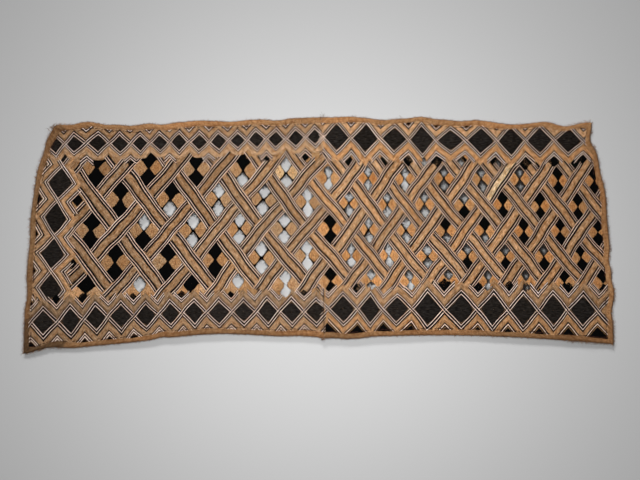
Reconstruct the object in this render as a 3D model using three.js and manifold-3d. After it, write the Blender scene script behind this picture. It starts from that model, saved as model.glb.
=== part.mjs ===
// Long raffia cloth of two hemmed panels sewn edge to edge, lying face up on a flat surface.
// Millimetres, +X along the cloth, +Y across it towards the upper edge, +Z up out of its face.
// The middle field is a lattice of interlaced bands. In many of its cells the dark lozenges are
// cut through, so that the surface behind shows. The bands stand a little proud of the ground.
import * as THREE from "three";
import { mergeVertices } from "three/addons/utils/BufferGeometryUtils.js";
import Module from "manifold-3d";

const wasm = await Module();
wasm.setup();

// Thicknesses and widths
const GROUND_THICKNESS = 1.6;
const BAND_TOP = 2.6;
const HEM_TOP = 3.2;
const HEM_WIDTH = 13;
const RELIEF_FOOT = 0.8;
const SEAM_GAP = 0.3;
const OUTLINE_STEP = 14;

// Corners of the cloth and the two ends of the seam, before the frame is centred
const TOP_LEFT = [-607, 245];
const TOP_SEAM = [7, 267];
const TOP_RIGHT = [627, 255];
const BOTTOM_RIGHT = [677, -254];
const BOTTOM_SEAM = [13, -240];
const BOTTOM_LEFT = [-677, -276];

// Each edge runs clockwise. A bow is the swing out at mid-length, and each wave swings out or in
// around a place given from the edge's start.
const EDGES = {
  topLeft: {
    from: TOP_LEFT,
    to: TOP_SEAM,
    bow: 0,
    waves: [
      { at: 14, reach: 40, out: 4 },
      { at: 74, reach: 52, out: 8.5 },
      { at: 178, reach: 45, out: -4 },
      { at: 249, reach: 40, out: -4.2 },
      { at: 330, reach: 40, out: 2.2 },
      { at: 408, reach: 45, out: -3.3 },
      { at: 511, reach: 40, out: -4 },
    ],
  },
  topRight: {
    from: TOP_SEAM,
    to: TOP_RIGHT,
    bow: 0,
    waves: [
      { at: 65, reach: 45, out: 2.5 },
      { at: 141, reach: 45, out: -3.7 },
      { at: 228, reach: 42, out: 5.2 },
      { at: 318, reach: 42, out: -3 },
      { at: 440, reach: 90, out: -8.5 },
      { at: 561, reach: 52, out: -10 },
    ],
  },
  right: {
    from: TOP_RIGHT,
    to: BOTTOM_RIGHT,
    bow: 14,
    waves: [
      { at: 40, reach: 38, out: -10 },
      { at: 170, reach: 60, out: 4 },
      { at: 318, reach: 30, out: -4 },
      { at: 396, reach: 35, out: 5 },
      { at: 442, reach: 25, out: -3 },
    ],
  },
  bottomRight: {
    from: BOTTOM_RIGHT,
    to: BOTTOM_SEAM,
    bow: -13,
    waves: [{ at: 600, reach: 58, out: 4 }],
  },
  bottomLeft: {
    from: BOTTOM_SEAM,
    to: BOTTOM_LEFT,
    bow: -14,
    waves: [
      { at: 50, reach: 75, out: -4 },
      { at: 250, reach: 230, out: -10 },
      { at: 372, reach: 28, out: -3 },
      { at: 630, reach: 60, out: -7 },
    ],
  },
  left: {
    from: BOTTOM_LEFT,
    to: TOP_LEFT,
    bow: 20,
    waves: [
      { at: 135, reach: 45, out: -4 },
      { at: 325, reach: 85, out: 7.5 },
      { at: 420, reach: 102, out: 13 },
      { at: 495, reach: 40, out: 6.5 },
    ],
  },
};

// Lattice of the interlace, in half-cells: column 0 to 10 on the first panel, 10 to 25 on the
// second. Rows count downwards. Cells lie where column + row is even, crossings where it is odd.
const SEAM_COLUMN = 10;
const LAST_COLUMN = 25;
const FIRST_LATTICE = {
  x: -508,
  columnStep: 59.8,
  columnTighten: 0.686,
  rowLean: -6.7,
  rowSpread: 0.85,
  y: 150,
  yRise: 23,
  rowStep: 72,
  rowTighten: 13.1,
  bandHalf: 0.41,
};
const SECOND_LATTICE = {
  x: 25,
  columnStep: 43.7,
  rowLean: 1.8,
  rowSpread: 0.207,
  y: 127,
  fall: 0.345,
  rowStep: 58.9,
  bandHalf: 0.47,
};
const TOP_ROW = -2;
const BOTTOM_ROW = 6;
const END_CLEARANCE = 0.035;

// Chains of lozenges round the field: places in millimetres, half-sizes of one lozenge, and the
// depth, in half-lozenges, to which the chain's lines and plain zigzag reach into the field.
const CHAINS = {
  topFirst: { from: [-560, 207], to: [-10, 222], count: 13, bow: 0, half: 24, depth: 0.65 },
  topSecond: { from: [43, 219], to: [577, 212], count: 9, bow: -3, half: 35, depth: 0.43 },
  bottomFirst: { from: [-633, -205], to: [-6, -179], count: 12, bow: 10, half: 30, depth: 0.78 },
  bottomSecond: { from: [56, -173], to: [609, -178], count: 9, bow: 0, half: 37, depth: 0.66 },
};
const COLUMN_CHAIN = { from: [-592, 116], to: [-619, -128], count: 4, bow: 6, half: 32, depth: 0.4 };

// Which dark lozenges are cut through: one letter per cell from left to right, row by row.
// T is the upper lozenge, B the lower one, A both apart, H both joined as an hourglass and . none.
const OPEN_CELLS = [
  { row: 0, first: 0, open: "...BAHAHAAA.." },
  { row: 1, first: 1, open: ".BAAHAAAT..." },
  { row: 2, first: 0, open: ".TAAA.AABB..." },
  { row: 3, first: 1, open: "...AHHHATTT." },
  { row: 4, first: 0, open: ".T.TH.AHTHA.." },
];
const GAP_HALF = 0.88;
const GAP_ROUNDING = 1.25;
const GAP_LEVELS = [-0.97, -0.55, 0, 0.55, 0.97];
const NECK_HALF = 0.075;
// In the last row the border's zigzag cuts the lower lozenges short.
const LAST_CELL_ROW = 4;
const LAST_ROW_SHARE = 0.72;
// The gap beside the seam is narrower.
const SEAM_GAP_SHARE = 0.8;
const SEAM_GAP_SHIFT = 0;
// Three more gaps hang in the notches of the second panel's upper border.
const NOTCH_GAPS = [
  { column: 15, row: -0.66 },
  { column: 16.95, row: -0.62 },
  { column: 18.9, row: -0.6 },
];
const NOTCH_HALF = 0.2;
const NOTCH_CORNERS = 12;

// Slow hand-made drift of every worked line, as sums of sines over the cloth.
const DRIFT = [
  { along: 1.1, across: 0.9, period: 173, slant: 0.8, phase: 0.6 },
  { along: 0.6, across: 0.8, period: 97, slant: -1.3, phase: 2.1 },
  { along: 0.3, across: 0.3, period: 53, slant: 0.5, phase: 4.4 },
];

// Places where the work was drawn aside, each fading out over its reach.
const PULLS = [
  { x: -129, y: -37, reachX: 200, reachY: 170, dx: -6.5, dy: 6 },
  { x: 215, y: 10, reachX: 110, reachY: 160, dx: -4, dy: -1 },
  { x: 625, y: 20, reachX: 170, reachY: 230, dx: -3.5, dy: -2.5 },
];

const lerp = (a, b, u) => a + (b - a) * u;
const mix = (a, b, u) => [lerp(a[0], b[0], u), lerp(a[1], b[1], u)];

// A raised cosine, 1 at the middle and 0 at its reach.
function hump(distance, reach) {
  return Math.abs(distance) < reach ? 0.5 + 0.5 * Math.cos((Math.PI * distance) / reach) : 0;
}

function pulled([x, y]) {
  let [dx, dy] = [0, 0];
  for (const p of PULLS) {
    const share = hump(x - p.x, p.reachX) * hump(y - p.y, p.reachY);
    dx += p.dx * share;
    dy += p.dy * share;
  }
  return [x + dx, y + dy];
}

function drift([x, y]) {
  let [dx, dy] = [0, 0];
  for (const d of DRIFT) {
    const turn = (2 * Math.PI) / d.period;
    dx += d.along * Math.sin(turn * (y + d.slant * x) + d.phase);
    dy += d.across * Math.sin(turn * (x - d.slant * y) + 2 * d.phase);
  }
  return [x + dx, y + dy];
}

// Points of one edge, set in from the hem's outer line by the given inset at both ends.
function edgeLine(edge, inset = 0) {
  const [from, to] = [edge.from, edge.to];
  const long = Math.hypot(to[0] - from[0], to[1] - from[1]);
  const along = [(to[0] - from[0]) / long, (to[1] - from[1]) / long];
  const outward = [-along[1], along[0]];
  const steps = Math.round(long / OUTLINE_STEP);
  const atSeam = (end) => end === TOP_SEAM || end === BOTTOM_SEAM;
  const start = atSeam(from) ? 0 : inset;
  const stop = atSeam(to) ? long : long - inset;
  return Array.from({ length: steps + 1 }, (_, n) => {
    const u = n / steps;
    const place = u * long;
    let out = edge.bow * Math.sin(Math.PI * u) - inset;
    for (const w of edge.waves) out += w.out * hump(place - w.at, w.reach);
    const run = lerp(start, stop, u);
    return [from[0] + along[0] * run + outward[0] * out, from[1] + along[1] * run + outward[1] * out];
  });
}

// Place of a lattice point, column and row in half-cells.
function latticePoint(column, row) {
  if (column <= SEAM_COLUMN) {
    const f = FIRST_LATTICE;
    const near = Math.max(0, column / SEAM_COLUMN) ** 3;
    return [
      f.x + f.columnStep * column - f.columnTighten * column ** 2 + row * (f.rowLean + f.rowSpread * column),
      f.y - f.yRise * near - row * (f.rowStep - f.rowTighten * near),
    ];
  }
  const s = SECOND_LATTICE;
  const c = column - SEAM_COLUMN;
  return [s.x + s.columnStep * c + row * (s.rowLean + s.rowSpread * c), s.y - s.fall * c - s.rowStep * row];
}

// Half the width of a band in lattice units, easing from one panel's to the other's at the seam.
function bandHalf(column) {
  const u = Math.min(1, Math.max(0, (column - SEAM_COLUMN + 1) / 2));
  return lerp(FIRST_LATTICE.bandHalf, SECOND_LATTICE.bandHalf, u);
}

const onCloth = (column, row) => drift(pulled(latticePoint(column, row)));

// Outline of the band that lies on top at a crossing: it runs until it dives under its neighbours.
function bandOutline(column, row) {
  const half = bandHalf(column);
  const reach = 2 - half - END_CLEARANCE;
  const rising = row % 2 === 0;
  const place = (along, aside) => {
    const [p, q] = rising ? [along, aside] : [aside, along];
    return onCloth(column + (p + q) / 2, row + (q - p) / 2);
  };
  const runs = [-reach, -reach / 3, reach / 3, reach];
  return [...runs.map((r) => place(r, -half)), ...runs.reverse().map((r) => place(r, half))];
}

// Outline of one gap in a cell: half-widths at levels down the lozenge, mirrored to both sides.
function gapOutline(cell, row, kind) {
  const besideSeam = cell === SEAM_COLUMN;
  const column = besideSeam ? cell + SEAM_GAP_SHIFT : cell;
  const side = ((1 - bandHalf(column)) / 2) * GAP_HALF * (besideSeam ? SEAM_GAP_SHARE : 1);
  const centre = (1 - bandHalf(column)) / 2;
  const widthAt = (level) => side * (1 - Math.abs(level) ** GAP_ROUNDING) ** (1 / GAP_ROUNDING);
  const lozenge = (middle) => GAP_LEVELS.map((l) => ({ down: middle + l * side, wide: widthAt(l) }));
  let levels;
  if (kind === "top") levels = lozenge(-centre);
  if (kind === "bottom") levels = lozenge(centre);
  if (kind === "both") {
    const upper = lozenge(-centre).slice(0, -1);
    const lower = lozenge(centre).slice(1);
    levels = [...upper, { down: 0, wide: NECK_HALF }, ...lower];
  }
  const drop = (down) => (row === LAST_CELL_ROW && down > 0 ? down * LAST_ROW_SHARE : down);
  const right = levels.map((l) => onCloth(column + l.wide, row + drop(l.down)));
  const left = levels.map((l) => onCloth(column - l.wide, row + drop(l.down))).reverse();
  return [...right, ...left];
}

// Outline of a small rounded lozenge in a notch of the border.
function notchOutline({ column, row }) {
  return Array.from({ length: NOTCH_CORNERS }, (_, n) => {
    const turn = (2 * Math.PI * n) / NOTCH_CORNERS;
    const [c, s] = [Math.cos(turn), Math.sin(turn)];
    const spread = Math.abs(c) ** GAP_ROUNDING + Math.abs(s) ** GAP_ROUNDING;
    const reach = NOTCH_HALF * spread ** (-1 / GAP_ROUNDING);
    return onCloth(column + reach * c, row + reach * s);
  });
}

// Gaps of one panel, as outlines.
function gapOutlines(isFirst) {
  const outlines = [];
  for (const { row, first, open } of OPEN_CELLS) {
    [...open].forEach((letter, n) => {
      const column = first + 2 * n;
      if (column < SEAM_COLUMN !== isFirst) return;
      if (letter === "T" || letter === "A") outlines.push(gapOutline(column, row, "top"));
      if (letter === "B" || letter === "A") outlines.push(gapOutline(column, row, "bottom"));
      if (letter === "H") outlines.push(gapOutline(column, row, "both"));
    });
  }
  if (!isFirst) outlines.push(...NOTCH_GAPS.map(notchOutline));
  return outlines;
}

// Point of a chain: s in half-lozenges from the first lozenge's centre, t across it.
function chainPoint(chain, s, t, crosswise) {
  const u = s / (2 * (chain.count - 1));
  const [x, y] = mix(chain.from, chain.to, u);
  const swing = chain.bow * Math.sin(Math.PI * Math.min(1, Math.max(0, u)));
  return crosswise ? drift([x - swing + t * chain.half, y]) : drift([x, y + swing + t * chain.half]);
}

// The zone that a chain keeps from the field: its zigzag inner edge, closed far outside.
function chainZone(chain, inward, crosswise) {
  const far = 4 * -inward;
  const points = [];
  for (let s = -4; s <= 2 * (chain.count - 1) + 4; s++) {
    const lift = s % 2 === 0 ? 1 + chain.depth : chain.depth;
    points.push(chainPoint(chain, s, inward * lift, crosswise));
  }
  points.push(chainPoint(chain, 2 * (chain.count - 1) + 4, far, crosswise));
  points.push(chainPoint(chain, -4, far, crosswise));
  return points;
}

// A prism over an outline, from one height to another.
function prism(outline, low, high) {
  const shape = new THREE.Shape(outline.map(([x, y]) => new THREE.Vector2(x, y)));
  const geometry = new THREE.ExtrudeGeometry(shape, { depth: high - low, bevelEnabled: false });
  return geometry.translate(0, 0, low);
}

// A closed geometry as a solid that can be cut and joined.
function solid(geometry) {
  geometry.deleteAttribute("normal");
  geometry.deleteAttribute("uv");
  const merged = mergeVertices(geometry, 1e-4);
  return new wasm.Manifold(
    new wasm.Mesh({
      numProp: 3,
      vertProperties: merged.attributes.position.array,
      triVerts: new Uint32Array(merged.index.array),
    }),
  );
}

function geometryOf(made) {
  const mesh = made.getMesh();
  const geometry = new THREE.BufferGeometry();
  geometry.setAttribute("position", new THREE.BufferAttribute(new Float32Array(mesh.vertProperties), 3));
  geometry.setIndex(new THREE.BufferAttribute(new Uint32Array(mesh.triVerts), 1));
  geometry.computeVertexNormals();
  return geometry;
}

const joined = (solids) => solids.reduce((a, b) => a.add(b));

// Where the straight seam lies at a height across the cloth.
function seamAt(y) {
  return lerp(TOP_SEAM[0], BOTTOM_SEAM[0], (TOP_SEAM[1] - y) / (TOP_SEAM[1] - BOTTOM_SEAM[1]));
}

// Outer and inner lines of a panel's hem, from the seam round the free sides and back to it.
function hemLines(isFirst) {
  const edges = isFirst
    ? [EDGES.bottomLeft, EDGES.left, EDGES.topLeft]
    : [EDGES.topRight, EDGES.right, EDGES.bottomRight];
  const shift = ((isFirst ? -1 : 1) * SEAM_GAP) / 2;
  const line = (inset) => {
    const points = edges.flatMap((edge, n) => edgeLine(edge, inset).slice(n === 0 ? 0 : 1));
    const toSeam = ([, y]) => [seamAt(y) + shift, y];
    return [toSeam(points[0]), ...points.slice(1, -1), toSeam(points.at(-1))];
  };
  return { outer: line(0), inner: line(HEM_WIDTH) };
}

// Bands of one panel, kept inside the hem and clear of the border's chains.
function bands(isFirst, field) {
  const [from, to] = isFirst ? [-3, SEAM_COLUMN + 2] : [SEAM_COLUMN - 2, LAST_COLUMN + 2];
  const ribs = [];
  for (let column = from; column <= to; column++) {
    for (let row = TOP_ROW; row <= BOTTOM_ROW; row++) {
      if ((column + row) % 2 === 0) continue;
      ribs.push(solid(prism(bandOutline(column, row), RELIEF_FOOT, BAND_TOP)));
    }
  }
  const [top, bottom] = isFirst
    ? [CHAINS.topFirst, CHAINS.bottomFirst]
    : [CHAINS.topSecond, CHAINS.bottomSecond];
  const zones = [chainZone(top, -1, false), chainZone(bottom, 1, false)];
  if (isFirst) zones.push(chainZone(COLUMN_CHAIN, 1, true));
  let kept = joined(ribs).intersect(solid(prism(field, 0, HEM_TOP)));
  for (const zone of zones) kept = kept.subtract(solid(prism(zone, 0, HEM_TOP)));
  return kept;
}

function panel(name, isFirst, colour) {
  const { outer, inner } = hemLines(isFirst);
  const ground = solid(prism(outer, 0, GROUND_THICKNESS));
  const hem = solid(prism([...outer, ...[...inner].reverse()], RELIEF_FOOT, HEM_TOP));
  let cloth = ground.add(hem).add(bands(isFirst, inner));
  const gaps = gapOutlines(isFirst).map((g) => solid(prism(g, -1, HEM_TOP + 1)));
  cloth = cloth.subtract(joined(gaps));
  const material = new THREE.MeshStandardMaterial({ color: colour, roughness: 0.9, metalness: 0 });
  const mesh = new THREE.Mesh(geometryOf(cloth), material);
  mesh.name = name;
  return mesh;
}

const cloth = new THREE.Group();
cloth.add(panel("left_panel", true, 0xb98b60));
cloth.add(panel("right_panel", false, 0xc28f57));

// The frame's origin lies under the middle of the whole cloth's box.
const box = new THREE.Box3().setFromObject(cloth);
cloth.position.set(-(box.min.x + box.max.x) / 2, -(box.min.y + box.max.y) / 2, 0);

export default cloth;
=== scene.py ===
# %% [markdown]
# # A raffia cut-pile cloth
#
# Two woven raffia panels are sewn edge to edge and hemmed all round. Over the plain weave the
# maker worked interlaced bands, lozenges and borders in dyed raffia thread, and cut some of the
# dark lozenges through. The cloth lies face up, so every worked line is a low raised shape on a
# thin sheet, and all of them are placed by one hand-drawn lattice.

import math

import bpy
import numpy as np
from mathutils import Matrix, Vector
from mathutils.geometry import delaunay_2d_cdt


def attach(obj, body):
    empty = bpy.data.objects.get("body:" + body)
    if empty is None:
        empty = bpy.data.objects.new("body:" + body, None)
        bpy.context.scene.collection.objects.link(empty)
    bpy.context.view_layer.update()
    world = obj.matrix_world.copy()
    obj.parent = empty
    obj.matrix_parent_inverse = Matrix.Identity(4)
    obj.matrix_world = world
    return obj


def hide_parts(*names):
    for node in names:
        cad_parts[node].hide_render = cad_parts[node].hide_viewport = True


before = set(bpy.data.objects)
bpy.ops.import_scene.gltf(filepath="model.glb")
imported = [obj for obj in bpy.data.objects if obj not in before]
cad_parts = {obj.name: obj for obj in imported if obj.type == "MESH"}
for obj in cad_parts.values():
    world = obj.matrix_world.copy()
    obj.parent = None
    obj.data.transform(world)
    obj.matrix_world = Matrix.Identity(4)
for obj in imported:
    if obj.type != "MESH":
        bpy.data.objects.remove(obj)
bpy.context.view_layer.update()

# %% [markdown]
# The cloth's edge was never straight: the hem was folded by hand, and the panels have crept
# since. Each edge is a line between two corners with a slow bow and a few local waves, which is
# how an uneven fold looks, and it needs only a short list of places.

# %% Outline of the cloth, in millimetres
TOP_LEFT, TOP_SEAM, TOP_RIGHT = (-607, 245), (7, 267), (627, 255)
BOTTOM_RIGHT, BOTTOM_SEAM, BOTTOM_LEFT = (677, -254), (13, -240), (-677, -276)
# name: from, to, bow, waves as (place along the edge, reach, swing outwards)
EDGES = {
    "top_left": (TOP_LEFT, TOP_SEAM, 0, [
        (14, 40, 4), (74, 52, 8.5), (178, 45, -4), (249, 40, -4.2), (330, 40, 2.2), (408, 45, -3.3),
        (511, 40, -4),
    ]),
    "top_right": (TOP_SEAM, TOP_RIGHT, 0, [
        (65, 45, 2.5), (141, 45, -3.7), (228, 42, 5.2), (318, 42, -3), (440, 90, -8.5), (561, 52, -10),
    ]),
    "right": (TOP_RIGHT, BOTTOM_RIGHT, 14, [
        (40, 38, -10), (170, 60, 4), (318, 30, -4), (396, 35, 5), (442, 25, -3),
    ]),
    "bottom_right": (BOTTOM_RIGHT, BOTTOM_SEAM, -13, [(600, 58, 4)]),
    "bottom_left": (BOTTOM_SEAM, BOTTOM_LEFT, -14, [
        (50, 75, -4), (250, 230, -10), (372, 28, -3), (630, 60, -7),
    ]),
    "left": (BOTTOM_LEFT, TOP_LEFT, 20, [
        (135, 45, -4), (325, 85, 7.5), (420, 102, 13), (495, 40, 6.5),
    ]),
}
PANEL_EDGES = {
    "left": ("bottom_left", "left", "top_left"),
    "right": ("top_right", "right", "bottom_right"),
}
SIDES = ("left", "right")
# how far apart the panels' edges lie at the seam
SEAM_GAP = 0.3


def hump(distance, reach):
    d = np.clip(np.abs(distance) / reach, 0, 1)
    return 0.5 + 0.5 * np.cos(math.pi * d)


def edge_line(name, inset=0.0, step=6.0):
    start, end, bow, waves = EDGES[name]
    start, end = np.array(start, float), np.array(end, float)
    long = np.hypot(*(end - start))
    along = (end - start) / long
    outward = np.array([-along[1], along[0]])
    u = np.linspace(0, 1, round(long / step) + 1)
    out = bow * np.sin(math.pi * u) - inset
    for place, reach, swing in waves:
        out = out + swing * hump(u * long - place, reach)
    seams = (TOP_SEAM, BOTTOM_SEAM)
    first = 0 if EDGES[name][0] in seams else inset
    last = long if EDGES[name][1] in seams else long - inset
    run = first + (last - first) * u
    return start + run[:, None] * along + out[:, None] * outward


def seam_at(y):
    down = (TOP_SEAM[1] - y) / (TOP_SEAM[1] - BOTTOM_SEAM[1])
    return TOP_SEAM[0] + (BOTTOM_SEAM[0] - TOP_SEAM[0]) * down


def panel_line(panel, inset=0.0, step=6.0):
    parts = [edge_line(name, inset, step) for name in PANEL_EDGES[panel]]
    points = np.concatenate([parts[0], parts[1][1:], parts[2][1:]])
    side = -SEAM_GAP / 2 if panel == "left" else SEAM_GAP / 2
    for end in (0, -1):
        points[end, 0] = seam_at(points[end, 1]) + side
    return points


def cloth_outline(inset=0.0, step=6.0):
    return np.concatenate([panel_line(panel, inset, step) for panel in SIDES])


whole = cloth_outline(0.0, 14.0)
CENTRE = (whole.min(0) + whole.max(0)) / 2
print("outline", whole.min(0), whole.max(0), "centre", CENTRE)

# %% [markdown]
# The middle field is a lattice of bands that pass over and under each other. Counted in
# half-cells, it is regular, and the maker's hand shows in how the lattice spreads, leans and
# drifts over the cloth. The second panel was worked with smaller cells.

# %% The lattice, in half-cells, mapped to the cloth
SEAM_COLUMN = 10
# The first panel's cells shrink towards the seam. The second panel's hardly change.
FIRST = dict(
    x=-508, step=59.8, tighten=0.686, lean=-6.7, spread=0.85,
    y=150, rise=23, row=72, row_tighten=13.1, half=0.41,
)
SECOND = dict(x=25, step=43.7, lean=1.8, spread=0.207, y=127, fall=0.345, row=58.9, half=0.47)
# slow wander of the whole work: along, across, period, slant, phase
DRIFT = [(1.1, 0.9, 173, 0.8, 0.6), (0.6, 0.8, 97, -1.3, 2.1), (0.3, 0.3, 53, 0.5, 4.4)]


def drift(x, y):
    dx, dy = 0.0, 0.0
    for along, across, period, slant, phase in DRIFT:
        turn = 2 * math.pi / period
        dx = dx + along * np.sin(turn * (y + slant * x) + phase)
        dy = dy + across * np.sin(turn * (x - slant * y) + 2 * phase)
    return np.stack([x + dx, y + dy], -1)


# Places where the work was drawn aside: x, y, reach along, reach across, and how far each way
PULLS = [(-129, -37, 200, 170, -6.5, 6), (215, 10, 110, 160, -4, -1), (625, 20, 170, 230, -3.5, -2.5)]


def pulled(x, y):
    dx, dy = 0.0, 0.0
    for px, py, reach_x, reach_y, aside, up in PULLS:
        share = hump(x - px, reach_x) * hump(y - py, reach_y)
        dx, dy = dx + aside * share, dy + up * share
    return x + dx, y + dy


def lattice(c, r, blend=0.5):
    f, s = FIRST, SECOND
    near = np.clip(c / SEAM_COLUMN, 0, None) ** 3
    fx = f["x"] + f["step"] * c - f["tighten"] * c**2 + r * (f["lean"] + f["spread"] * c)
    fy = f["y"] - f["rise"] * near - r * (f["row"] - f["row_tighten"] * near)
    d = c - SEAM_COLUMN
    sx = s["x"] + s["step"] * d + r * (s["lean"] + s["spread"] * d)
    sy = s["y"] - s["fall"] * d - s["row"] * r
    w = np.clip(0.5 + d / (2 * blend), 0, 1) if blend else (d > 0) * 1.0
    return drift(*pulled(fx + (sx - fx) * w, fy + (sy - fy) * w))


def side_of(column):
    return "left" if column < SEAM_COLUMN else "right"


def band_half(column):
    u = min(1, max(0, (column - SEAM_COLUMN + 1) / 2))
    return FIRST["half"] + (SECOND["half"] - FIRST["half"]) * u


print("cell 0,0 at", lattice(np.array(0.0), np.array(0.0)))

# %% [markdown]
# Round the field runs a chain of dark lozenges on three sides, held between two zigzags. In a
# chain, s counts half-lozenges along it and t is 1 at a lozenge's corner, so every line of the
# border is a simple zigzag in s and t.

# %% The chains, mapped to the cloth
# a, b: ends of the line of centres. n: lozenges. half: half-height of one. creep: the place, reach
# and amount by which the spacing crept. room: extra length at the start. pair: half-width of a pair
# of lines. out, inn: depth of the gold zigzag outside and inside. cap: where its corners are cut.
CHAINS = {
    "top_left": dict(
        a=(-561, 206), b=(-9, 222), n=13, bow=-4, half=22.5, creep=(0, 1, 0), room=22,
        pair=0.27, out=0.72, inn=0.78, cap=0.55,
        sizes=(1.06, 1.06, 1.04, 0.98, 0.98, 1, 1, 1, 0.98, 0.98, 1, 1, 1.05),
    ),
    "top_right": dict(
        a=(42, 221), b=(575, 214), n=9, bow=-4, half=35, creep=(7.5, 5, -5), room=0,
        pair=0.18, out=0.48, inn=0.48, cap=1,
        sizes=(1.0, 1.12, 0.92, 1.05, 0.85, 0.96, 1.08, 1, 0.92),
    ),
    "bottom_left": dict(
        a=(-633, -204), b=(-5, -179), n=12, bow=8, half=31, creep=(0, 1, 0), room=16,
        pair=0.24, out=0.64, inn=0.5, cap=1,
        sizes=(1.05, 1.1, 1.06, 1.04, 0.96, 0.96, 0.96, 0.96, 0.96, 1, 1, 0.98),
    ),
    "bottom_right": dict(
        a=(56, -173), b=(608, -177), n=9, bow=0, half=37, creep=(4.8, 5, -15), room=0,
        pair=0.2, out=0.46, inn=0.46, cap=1,
        sizes=(0.95, 0.98, 0.9, 1.18, 1.1, 1.13, 1.14, 1.14, 1.06),
    ),
    "column": dict(
        a=(-593, 116), b=(-615, -128), n=4, bow=-4, half=32, creep=(0, 1, 0), room=0,
        pair=0.18, out=0.5, inn=0.42, cap=1,
        sizes=(1, 1, 1.04, 1),
    ),
}


def chain_point(name, s, t):
    c = CHAINS[name]
    s, t = np.broadcast_arrays(np.asarray(s, float), np.asarray(t, float))
    last = 2 * (c["n"] - 1)
    a, b = np.array(c["a"], float), np.array(c["b"], float)
    run = b - a
    long = np.hypot(*run)
    along = run / long
    up = np.array([-along[1], along[0]])
    room = c["room"] * (1 - np.exp(-np.clip(s, 0, None) / 3)) if c["room"] else 0
    middle, reach, creep = c["creep"]
    place = (long - c["room"]) * s / last + room + creep * hump(s - middle, reach)
    swing = c["bow"] * np.sin(math.pi * np.clip(s / last, 0, 1))
    size = np.interp(s, 2 * np.arange(c["n"]), c["sizes"])
    side = swing + t * c["half"] * size
    return drift(
        a[0] + along[0] * place + up[0] * side,
        a[1] + along[1] * place + up[1] * side,
    )


def tri(s):
    return np.abs(1 - np.mod(s, 2))


# The nested lines are counted in widths of this many millimetres. Those in a notch reach
# NOTCH_DEPTH widths deep, and NOTCH_REACH along s on each side of its middle.
LINE = 2.7
NOTCH_DEPTH, NOTCH_REACH = 5.2, 0.6
# t of a place that surely lies beyond the hem
PAST_HEM = 6.0


def per_chain(*values):
    """One value for each chain, in the order of the table above."""
    return dict(zip(CHAINS, values))


# Which way from the chain the hem lies, as the sign of t
OUTER = per_chain(1, 1, -1, -1, -1)


def blunt(name, s):
    """How much lower the inner zigzag stands under a lozenge's corner than a full zigzag would."""
    return np.clip(tri(s) - CHAINS[name]["cap"], 0, None)


# Notches between two lozenges, as odd s, where pale lines nest against the chain's inner zigzag
NOTCH_LINES = per_chain(
    (1, 5, 9, 13, 19, 23), range(-1, 19, 2), range(-1, 25, 2), range(-1, 19, 2), (1, 3, 5)
)


def in_notch(name, s):
    nearest = 2 * np.floor(s / 2) + 1
    return (np.abs(s - nearest) < NOTCH_REACH) & np.isin(nearest, list(NOTCH_LINES[name]))


def zone(name, extra=0.0):
    """The ground a chain keeps from the field: its inner zigzag and the lines in the notches."""
    c = CHAINS[name]
    s = np.arange(-8, 2 * c["n"] + 7, 0.1)
    nest = c["inn"] / 2 + NOTCH_DEPTH * LINE / c["half"]
    depth = c["pair"] + c["inn"] / 2 + np.where(in_notch(name, s), nest, extra) - blunt(name, s)
    inner = chain_point(name, s, -OUTER[name] * (tri(s) + depth))
    outer = chain_point(name, s[[-1, 0]], OUTER[name] * PAST_HEM)
    return np.concatenate([inner, outer])


def inside(poly, points):
    x, y = points[:, 0], points[:, 1]
    hit = np.zeros(len(points), bool)
    for (x0, y0), (x1, y1) in zip(poly, np.roll(poly, -1, 0)):
        if y0 == y1:
            continue
        crosses = (y0 > y) != (y1 > y)
        hit ^= crosses & (x < (x1 - x0) * (y - y0) / (y1 - y0) + x0)
    return hit


HEM_WIDTH = 13.0
# worked shapes stop under the hem's middle
HEM_MIDDLE = cloth_outline(HEM_WIDTH * 0.55)
ZONES = {name: zone(name) for name in CHAINS}
WIDE_ZONES = {name: zone(name, c["inn"] / 2 + 0.5 * LINE / c["half"]) for name, c in CHAINS.items()}
print("lozenges in the border", sum(c["n"] for c in CHAINS.values()))

# %% [markdown]
# In each cell between the bands four lozenges meet at a point. The upper and lower ones are
# black pile or are cut through, and the cut ones stay together by the bands round them. Nothing
# is worked over a gap, so its outline is needed before the worked shapes.

# %% Gaps cut through the cloth
# One letter per cell: T upper and B lower lozenge cut through, A both, H both joined, . none.
OPEN_CELLS = {
    0: "...BAHAHAAA..",
    1: ".BAAHAAAT...",
    2: ".TAAA.AABB...",
    3: "...AHHHATTT.",
    4: ".T.TH.AHTHA..",
}
OPEN_TOP, OPEN_BOTTOM = "TAH", "BAH"


def open_letter(column, row):
    letters = OPEN_CELLS.get(row, "")
    n = (column - row % 2) // 2
    return letters[n] if 0 <= n < len(letters) and column >= 0 else "."


# share of its lozenge that a gap fills, how round it is, and half the width of a joining neck
GAP_HALF, GAP_ROUNDING, NECK_HALF = 0.88, 1.25, 0.075
# In the last row the lower gaps are cut short, and beside the seam all of them are smaller.
LAST_CELL_ROW, LAST_ROW_SHARE = 4, 0.72
SEAM_GAP_SHARE = 0.8
# Three more gaps hang in the notches of the second panel's upper border.
NOTCH_GAPS = [(15, -0.66), (16.95, -0.62), (18.9, -0.6)]
NOTCH_HALF = 0.2
LEVELS = np.array([-0.98, -0.8, -0.55, -0.28, 0, 0.28, 0.55, 0.8, 0.98])
KINDS = {"T": ("top",), "B": ("bottom",), "A": ("top", "bottom"), "H": ("both",), ".": ()}


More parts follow.
